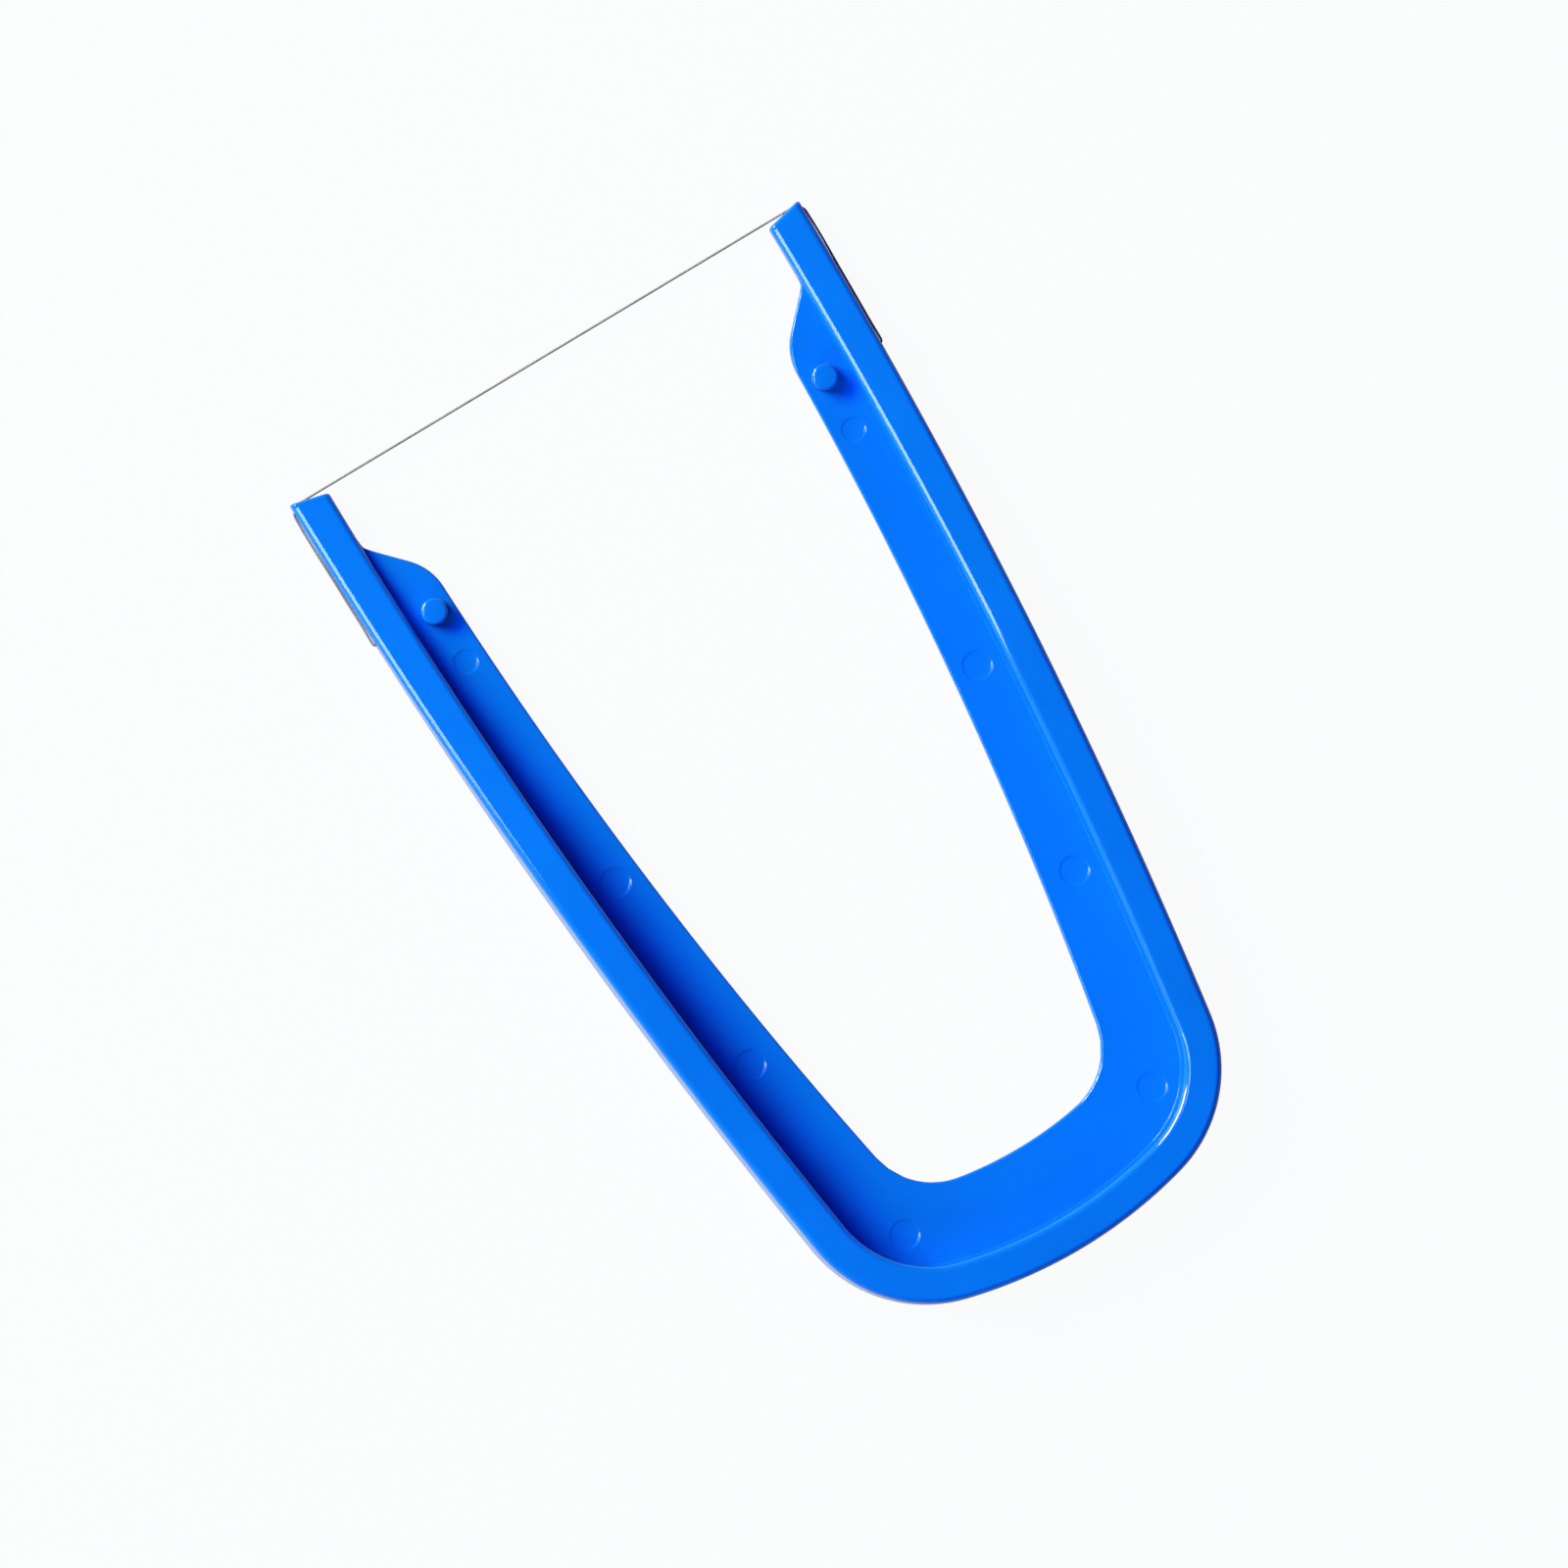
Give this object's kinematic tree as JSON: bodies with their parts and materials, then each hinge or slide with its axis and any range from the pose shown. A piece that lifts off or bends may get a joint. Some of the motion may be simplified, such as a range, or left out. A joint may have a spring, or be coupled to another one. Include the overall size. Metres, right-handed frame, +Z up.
{
  "type": "clay wire cutter",
  "caption": "U-shaped moulded plastic bow with a raised outer rim and a taut steel wire across its mouth, held by hand to slice blocks of clay.",
  "frame": {"origin": "under the middle of the object's box, on the flat front face that it lies on", "axes": "+X along the cutting wire, +Y from the base to the mouth, +Z up out of the front face towards the recessed side"},
  "size_m": [0.0916, 0.1592, 0.01],
  "materials": {
    "bow_plastic": "semi-gloss moulded plastic",
    "pin_plastic": "semi-gloss moulded plastic",
    "wire_steel": "drawn steel wire"
  },
  "bodies": {
    "root": {"bow_frame": "bow_plastic", "cutting_wire": "wire_steel", "left_anchor_pin": "pin_plastic", "right_anchor_pin": "pin_plastic"}
  },
  "joints": []
}
